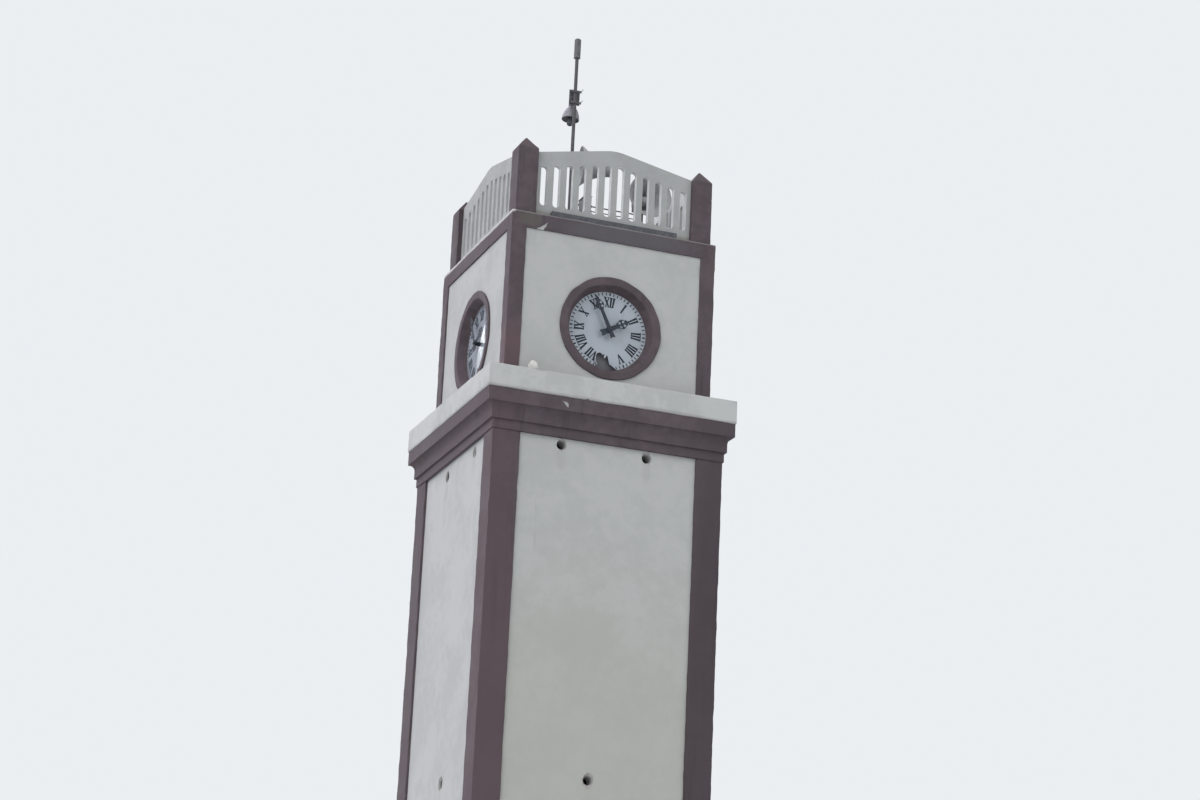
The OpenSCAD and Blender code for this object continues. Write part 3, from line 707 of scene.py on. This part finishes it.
def letter(sign, x):
    """Paints one letter with its serifs: thick and thin strokes, as such dials have them."""
    half = letter_widths[sign] / 2
    low, high = foot + serif, head - serif
    slope = math.atan2((letter_widths[sign] - thick) * (0.5 if sign == "V" else 1.0), high - low)
    if sign == "I":
        bar(x, low, high, thick)
        feet = [(x, z, half * 0.96) for z in (foot, high)]
    elif sign == "V":
        reach = (letter_widths[sign] - thick) / 4
        bar(x - reach, low, high, thick, slope)
        bar(x + reach, low, high, thin, -slope)
        feet = [(x - half * 0.62, high, half * 0.52), (x + half * 0.62, high, half * 0.44)]
    else:
        bar(x, low, high, thick, slope)
        bar(x, low, high, thin, -slope)
        feet = [(x + way * half * 0.62, z, half * 0.48) for way in (-1, 1) for z in (foot, high)]
    for x_foot, z, wide in feet:
        bar(x_foot, z, z + serif, 2 * wide)


figures = []
for hour, word in enumerate(hour_words):
    figure = primitive(bpy.ops.mesh.primitive_plane_add, size=0.001, location=(0, -dial_face, middle),
                       rotation=(math.pi / 2, 0, 0))
    bpy.ops.object.mode_set(mode="EDIT")
    bpy.ops.mesh.select_all(action="SELECT")
    bpy.ops.mesh.delete(type="VERT")
    x = -sum(letter_widths[sign] for sign in word) / 2
    for sign in word:
        letter(sign, x + letter_widths[sign] / 2)
        x += letter_widths[sign]
    for minute in range(5):
        bpy.ops.mesh.select_all(action="DESELECT")
        bar(0, track_low, track_high, minute_width if minute else hour_width)
        a = math.radians(6 * minute)
        bpy.ops.transform.rotate(value=a, orient_axis="Y", center_override=(0, -dial_face, 0))
    bpy.ops.object.mode_set(mode="OBJECT")
    a = math.radians(30 * hour + askew)
    for v in figure.data.vertices:
        on_track = Vector((v.co.x, v.co.z)).length > (head + track_low) / 2
        x, r = (v.co.x if on_track else v.co.x * v.co.z / middle), v.co.z
        v.co.x = x * math.cos(a) + r * math.sin(a)
        v.co.z = r * math.cos(a) - x * math.sin(a) + dial_height
    figures.append(figure)
marks = joined(figures, "dial_marks_front")
coat = marks.modifiers.new("coat", "SOLIDIFY")
coat.thickness = 0.0012
coat.offset = 1.0
finish_modifiers(marks)

dial_black, tree, shader, place = blank("dial_black")
thinned = step_up(tree, clouds(tree, place, 45.0, 4.0, 0.6), 0.46, 0.70)
tree.links.new(tint(tree, thinned, (0.015, 0.021, 0.030), (0.055, 0.063, 0.076)), shader["Base Color"])
shader["Roughness"].default_value = 0.6
shader["Specular IOR Level"].default_value = 0.2

break_edge_mm = ((-134, -325), (-113, -293), (-88, -283), (-62, -289), (-55, -306), (-36, -309), (-24, -346),
                 (-6, -336), (3, -315), (20, -325), (32, -374), (47, -416), (73, -427), (93, -440),
                 (119, -458), (136, -472), (150, -505), (-146, -505), (-136, -440), (-144, -392),
                 (-130, -360))
for side in ("right", "back", "left"):
    same = copied(marks.data, "dial_marks_" + side)
    turned(same, faces[side])
    done(same, dial_black, smooth=0)
marks.data.materials.append(dial_black)
broken_foot = [(x / 1000, dial_height + z / 1000) for x, z in break_edge_mm]
carve(marks, [flake(broken_foot, -dial_face - 0.01, -dial_face + 0.01)])
done(marks, dial_black, smooth=0)

# Dials: opal sheet screwed to the rings, and behind each a board of grey cement that shows through the
# break. Rain has filmed the sheets, and they have buckled, so that what they mirror is bent.
opal, tree, shader, place = blank("dial_white")
cloud = clouds(tree, place, 3.0, 4.0)
film = group(tree, runs, Place=place, Spread=30.0, Cover=0.5)["Mask"]
# The sheet's blue tint is a painted reflection of the sky; its grey is the sheet's own.
colour = tint(tree, step_up(tree, cloud, 0.35, 0.70), (0.37, 0.41, 0.455), (0.32, 0.355, 0.39))
colour = tint(tree, reckon(tree, "MULTIPLY", film, 0.35), colour, (0.30, 0.31, 0.30))
tree.links.new(colour, shader["Base Color"])
dulled = put(tree, "MapRange", Value=cloud, From_Min=0.3, From_Max=0.7, To_Min=0.06, To_Max=0.20)
tree.links.new(dulled.outputs[0], shader["Roughness"])
lean, steepness, phase = 3.48, 3.335, 4.85
along = put(tree, "VectorMath", {"operation": "DOT_PRODUCT"}, _0=place, _1=(lean, -lean, -steepness))
along = reckon(tree, "ADD", along.outputs["Value"], steepness * dial_height + phase)
sagged = reckon(tree, "MULTIPLY", clouds(tree, place, 4.0, 1.0), 0.35)
buckle = reckon(tree, "ADD", reckon(tree, "SINE", along), sagged)
slack = put(tree, "Bump", Strength=1.0, Distance=0.012, Height=buckle)
tree.links.new(slack.outputs[0], shader["Normal"])
dress(opal, *["dial_plate_" + side for side in faces])
cement = plaster_paint("cement_board", (0.135, 0.135, 0.148), (0.165, 0.165, 0.175), (0.08, 0.08, 0.085),
                       (0.2, 0.2, 0.2), grain=60.0, depth=0.002, streaks=0.4, wear=0.0)
dress(cement, "dial_backs")


# Hands, arbors, pipes and brackets: sheet and tube in dull paint that has gone chalky, with rust where
# the paint is thin and at the edges. The door is of sheet steel, painted like the piers.
def dull_metal(name, paint, chalk, rust, cover=0.4, metallic=0.0, rough=0.5, grain=30.0):
    """Dull paint on metal: chalky patches, rust that runs down, and rust at worn edges."""
    made, tree, shader, place = blank(name)
    patches = clouds(tree, place, grain, 5.0, 0.6)
    colour = tint(tree, step_up(tree, patches, 0.42, 0.68), paint, chalk)
    runs_down = group(tree, runs, Place=place, Spread=40.0, Cover=cover)["Mask"]
    colour = tint(tree, reckon(tree, "MULTIPLY", runs_down, 0.6), colour, rust)
    rubbed = group(tree, worn, Place=place, Width=0.004, Cover=cover)["Mask"]
    colour = tint(tree, rubbed, colour, rust)
    tree.links.new(colour, shader["Base Color"])
    shader["Metallic"].default_value = metallic
    spread = put(tree, "MapRange", Value=patches, To_Min=rough - 0.1, To_Max=rough + 0.2)
    tree.links.new(spread.outputs[0], shader["Roughness"])
    pits = clouds(tree, place, grain * 8, 2.0)
    bump = put(tree, "Bump", Strength=0.35, Distance=0.0006, Height=pits)
    tree.links.new(bump.outputs[0], shader["Normal"])
    return made


hand_paint = dull_metal("hand_black", (0.034, 0.041, 0.052), (0.052, 0.060, 0.072), (0.060, 0.048, 0.042),
                        cover=0.25, rough=0.62)
hand_paint.node_tree.nodes["Principled BSDF"].inputs["Specular IOR Level"].default_value = 0.2
pipe_paint = dull_metal("dark_metal", (0.064, 0.062, 0.068), (0.094, 0.092, 0.098), (0.070, 0.048, 0.040),
                        rough=0.55)
driver_paint = dull_metal("driver_grey", (0.090, 0.093, 0.108), (0.128, 0.131, 0.150), (0.075, 0.052, 0.045),
                          cover=0.3)
channel_paint = dull_metal("channel_grey", (0.060, 0.064, 0.074), (0.095, 0.10, 0.11), (0.05, 0.04, 0.035))
sleeve_paint = dull_metal("sleeve_grey", (0.098, 0.096, 0.105), (0.135, 0.132, 0.14), (0.08, 0.055, 0.042))
horn_paint = dull_metal("horn_grey", (0.33, 0.335, 0.34), (0.42, 0.425, 0.43), (0.16, 0.11, 0.08),
                        cover=0.30, grain=18.0)
door_paint = dull_metal("trim_metal", (0.092, 0.050, 0.054), (0.108, 0.062, 0.066), (0.075, 0.042, 0.032),
                        cover=0.6, rough=0.55, grain=9.0)
for side in faces:
    dress(hand_paint, "minute_hand_" + side, "hour_hand_" + side)
dress(hand_paint, "hand_arbors")
dress(driver_paint, "mast_horn_body")
dress(pipe_paint, "mast", "mast_clamps", "roof_horn_frame", "door_frame")
dress(sleeve_paint, "mast_head")
dress(channel_paint, "front_channel")
dress(horn_paint, "roof_horn_left", "roof_horn_right")
dress(door_paint, "access_door")

# Bell of the mast horn: spun zinc-coated sheet, with a paler paint inside the mouth as painted light, and the
# dark cover of the driver hanging out of its mouth.
zinc = dull_metal("grey_metal", (0.20, 0.198, 0.222), (0.27, 0.268, 0.29), (0.12, 0.08, 0.055),
                  metallic=0.35, rough=0.48)
bell = copy_of("mast_horn_bell", "_spun")
bell_axis = Matrix.Translation((-0.126, 0.141, 16.978)) @ Matrix.Rotation(math.radians(5), 4, "Y")
upright = bell_axis.inverted()
core_tip, core_reach, core_drop = -0.150, 0.060, Vector((0, 0, 0.040))
for v in bell.data.vertices:
    at = upright @ v.co
    if at.z < core_tip and Vector((at.x, at.y)).length < core_reach:
        v.co = bell_axis @ (at - core_drop)
for finish in (zinc, horn_paint, channel_paint):
    bell.data.materials.append(finish)
cover_radius, cover_top, mouth_radius = 0.043, -0.020, 0.106
for face in bell.data.polygons:
    at = upright @ face.center
    radius = Vector((at.x, at.y)).length
    inward = (upright.to_3x3() @ face.normal).dot(Vector((at.x, at.y, 0))) < 0
    if radius < cover_radius and at.z < cover_top:
        face.material_index = 2
    # Inside the mouth, the paler horn paint is painted light.
    elif inward and radius < mouth_radius:
        face.material_index = 1
    else:
        face.material_index = 0
done(bell, zinc, instead=["mast_horn_bell"], smooth=40)


# Fixings of the mast, the horns and their frame: galvanised hexagon nuts on washers, with the stud's end
# showing. Those of the sleeve and of the channel are painted with them. Each size is modelled once.
def fixing(across, high):
    """Makes one nut with its washer and stud, standing on the origin along Z."""
    made = primitive(bpy.ops.mesh.primitive_cylinder_add, vertices=6, radius=across * 0.577, depth=high,
                     location=(0, 0, 0))
    washer = across * 0.1
    bpy.ops.object.mode_set(mode="EDIT")
    bpy.ops.mesh.select_all(action="SELECT")
    bpy.ops.mesh.bevel(offset=across * 0.06, segments=2)
    bpy.ops.transform.translate(value=(0, 0, high / 2 + washer))
    for radius, top in ((across * 0.85, washer), (across * 0.30, high + across * 0.35)):
        bpy.ops.mesh.select_all(action="DESELECT")
        bpy.ops.mesh.primitive_cylinder_add(vertices=24, radius=radius, depth=top, location=(0, 0, top / 2))
        bpy.ops.mesh.bevel(offset=across * 0.03, segments=1)
    bpy.ops.object.mode_set(mode="OBJECT")
    return made


def copies_at(pattern, name, places):
    """Sets copies of a pattern at places, each along its own direction, and joins them."""
    made = []
    for k, (place, toward) in enumerate(places):
        one = copied(pattern.data, name)
        stand = Vector(toward).to_track_quat("Z", "Y").to_matrix().to_4x4()
        one.data.transform(Matrix.Translation(Vector(place)) @ stand @ Matrix.Rotation(0.7 * k, 4, "Z"))
        made.append(one)
    bpy.data.objects.remove(pattern, do_unlink=True)
    return joined(made, name)


roof, mast_x = 14.862, -0.143
mast_plate, frame_plate = roof + 0.012, roof + 0.010
left_horn, right_horn = (0.252, -0.050, 16.136), (0.782, -0.122, 15.747)
frame_posts = (left_horn[:2], right_horn[:2], (0.0735, 0.025))


def on_plate(x, y, height, reach):
    """Gives the places of the four nuts on a foot plate."""
    corners = [math.radians(45 + 90 * k) for k in range(4)]
    return [((x + reach * math.cos(a), y + reach * math.sin(a), height), (0, 0, 1)) for a in corners]


feet = on_plate(mast_x, 0, mast_plate, 0.068)
small_feet = [nut for x, y in frame_posts for nut in on_plate(x, y, frame_plate, 0.043)]
clamp_sides, clamp_heights, strap_faces = (-0.189, -0.079), (16.976, 17.129), ((-0.0302, -1), (0.0282, 1))
clamp_bolts = [((x, y, z), (0, toward, 0)) for x in clamp_sides for z in clamp_heights
               for y, toward in strap_faces]
pivot_reach = 0.128
pins = []
for horn, turn in ((left_horn, 80), (right_horn, 0)):
    for way in (-1, 1):
        outward = Matrix.Rotation(math.radians(turn), 3, "Z") @ Vector((way, 0, 0))
        pins.append((Vector(horn) + pivot_reach * outward, outward))
done(copies_at(fixing(0.022, 0.014), "mast_foot_nuts", feet), zinc)
done(copies_at(fixing(0.014, 0.010), "frame_foot_nuts", small_feet), zinc)
done(copies_at(fixing(0.013, 0.008), "clamp_nuts", clamp_bolts), zinc)
done(copies_at(fixing(0.018, 0.012), "yoke_nuts", pins), zinc)

pot_reach = 0.182
left_axis = (Matrix.Translation(left_horn) @ Matrix.Rotation(math.radians(-10), 4, "Z")
             @ Matrix.Translation((pot_reach, 0, 0)) @ Matrix.Rotation(math.radians(-90), 4, "Y"))
right_axis = (Matrix.Translation(right_horn) @ Matrix.Translation((0, pot_reach, 0))
              @ Matrix.Rotation(math.radians(90), 4, "X"))
pot_radius, pot_depth = 0.090, 0.070
rim = [Vector((pot_radius * math.cos(a), pot_radius * math.sin(a), pot_depth))
       for a in (math.radians(60 * k + 30) for k in range(6))]
screws = [(axis @ at, axis.to_3x3() @ Vector((0, 0, -1))) for axis in (left_axis, right_axis) for at in rim]
done(copies_at(fixing(0.009, 0.006), "driver_pot_screws", screws), zinc)
sleeve_face, sleeve_foot = -0.042, 17.596
channel_face, channel_end, pitch = -1.283, -0.75, 0.375
front_screws = [((mast_x, sleeve_face, sleeve_foot + z), (0, -1, 0)) for z in (0.05, 0.20)]
front_screws += [((channel_end + pitch * k, channel_face, roof + 0.045), (0, -1, 0)) for k in range(5)]
done(copies_at(fixing(0.011, 0.005), "sleeve_and_channel_screws", front_screws), channel_paint)

# Welds where the mast and the posts of the horn frame stand on their foot plates: an uneven fillet of weld
# metal, left as it cooled and painted over.
beads = []
welded = [(mast_x, 0, mast_plate, 0.0555)] + [(x, y, frame_plate, 0.0215) for x, y in frame_posts]
for x, y, z, radius in welded:
    bead = primitive(bpy.ops.mesh.primitive_torus_add, major_segments=72, minor_segments=8,
                     major_radius=radius, minor_radius=0.0045, location=(0, 0, 0))
    for v in bead.data.vertices:
        ripple = 1.0 + 0.012 * math.sin(48 * math.atan2(v.co.y, v.co.x)) + 0.02 * noise.noise(v.co * 90)
        v.co = Vector((v.co.x * ripple + x, v.co.y * ripple + y, v.co.z + z))
    beads.append(bead)
done(joined(beads, "weld_beads"), pipe_paint, smooth=60)


# Junction box of the horns: folded sheet with a pressed lid on hinges, a quarter-turn lock, a rain hood,
# and a gland nut where the rail and the conduit enter.
def pick(piece, toward):
    """Opens a piece for editing, with only the faces selected that look along a direction."""
    bpy.ops.object.mode_set(mode="EDIT")
    bpy.ops.mesh.select_mode(type="FACE")
    bpy.ops.mesh.select_all(action="DESELECT")
    bpy.ops.object.mode_set(mode="OBJECT")
    for face in piece.data.polygons:
        face.select = face.normal.dot(Vector(toward)) > 0.9
    bpy.ops.object.mode_set(mode="EDIT")


box_y, lid_x, hood_x, hood_fall = 0.025, 0.0240, 0.0715, 0.07
along_x, along_y = (0, math.pi / 2, 0), (math.pi / 2, 0, 0)
lid = primitive(bpy.ops.mesh.primitive_cube_add, size=1, location=(lid_x, box_y, 15.5995),
                scale=(0.0040, 0.182, 0.217))
pick(lid, (-1, 0, 0))
bpy.ops.mesh.inset(thickness=0.016)
bpy.ops.mesh.inset(thickness=0.004)
bpy.ops.transform.translate(value=(-0.0022, 0, 0))
bpy.ops.object.mode_set(mode="OBJECT")
soften(lid, 0.0012)
hood = primitive(bpy.ops.mesh.primitive_cube_add, size=1, location=(hood_x, box_y, 15.7185),
                 scale=(0.115, 0.220, 0.003))
for v in hood.data.vertices:
    v.co.z += hood_fall * (v.co.x - hood_x)
soften(hood, 0.0010)
extras = [lid, hood]
for z in (15.535, 15.664):
    hinge = primitive(bpy.ops.mesh.primitive_cylinder_add, vertices=20, radius=0.0048, depth=0.034,
                      location=(0.0220, 0.1195, z))
    soften(hinge, 0.0010)
    extras.append(hinge)
lock_and_glands = ((28, 0.0090, 0.009, (0.0185, -0.050, 15.600)), (6, 0.0165, 0.014, (0.128, -0.050, 15.599)),
                   (6, 0.0135, 0.014, (0.128, -0.050, 15.533)))
for sides, radius, depth, place in lock_and_glands:
    knob = primitive(bpy.ops.mesh.primitive_cylinder_add, vertices=sides, radius=radius, depth=depth,
                     location=place, rotation=along_x)
    soften(knob, 0.0015)
    extras.append(knob)
done(joined(extras, "box_lid_and_glands"), channel_paint)

# Furniture of the access door: a pull handle bent from round bar on two plates, and a lock with its rose.
# They are of steel in dull dark paint.
pull_x, pull_height, pull_reach, door_face = -0.315, 1.180, 0.070, 1.404
pull = primitive(bpy.ops.mesh.primitive_torus_add, major_segments=64, minor_segments=16,
                 major_radius=pull_reach, minor_radius=0.007, location=(0, 0, 0), rotation=along_x)
for v in pull.data.vertices:
    v.co.y = max(v.co.y * 0.62, -0.006)
    v.co += Vector((pull_x, door_face, pull_height))
furniture = [pull]
for z in (pull_height - pull_reach, pull_height + pull_reach):
    plate = primitive(bpy.ops.mesh.primitive_cylinder_add, vertices=32, radius=0.017, depth=0.006,
                      location=(pull_x, door_face, z), rotation=along_y)
    soften(plate, 0.0015)
    furniture.append(plate)
rose = primitive(bpy.ops.mesh.primitive_cylinder_add, vertices=40, radius=0.024, depth=0.010,
                 location=(pull_x, 1.406, 1.020), rotation=along_y)
pick(rose, (0, 1, 0))
bpy.ops.mesh.inset(thickness=0.010)
bpy.ops.mesh.extrude_region_move(TRANSFORM_OT_translate={"value": (0, 0.006, 0)})
bpy.ops.mesh.inset(thickness=0.006)
bpy.ops.mesh.extrude_region_move(TRANSFORM_OT_translate={"value": (0, -0.004, 0)})
bpy.ops.object.mode_set(mode="OBJECT")
soften(rose, 0.0010)
furniture.append(rose)
done(joined(furniture, "door_pull_and_lock"), channel_paint)

# Sliver of the front dial's sheet that still hangs from the break's left edge. It is bent out a little,
# and it ends short of the ring and of the hands' sweep.
sliver = primitive(bpy.ops.mesh.primitive_plane_add, size=1, location=(0, 0, 0))
sliver.name = "hanging_sliver"
bend = ((-0.338, 0.001, -0.1420), (-0.358, 0.003, -0.1425), (-0.380, 0.009, -0.1410),
        (-0.402, 0.018, -0.1385), (-0.423, 0.029, -0.1365), (-0.441, 0.041, -0.1350),
        (-0.457, 0.053, -0.1345))
bpy.ops.object.mode_set(mode="EDIT")
bpy.ops.mesh.subdivide(number_cuts=len(bend) - 2)
bpy.ops.object.mode_set(mode="OBJECT")
sliver_width = 0.009
for v in sliver.data.vertices:
    z, out, x = bend[round((0.5 - v.co.y) * (len(bend) - 1))]
    v.co = (x + v.co.x * sliver_width * min(1.0, -z * 2.1), -dial_face - out, dial_height + z)
shell = sliver.modifiers.new("shell", "SOLIDIFY")
shell.thickness = 0.003
finish_modifiers(sliver)
done(sliver, opal, smooth=60)
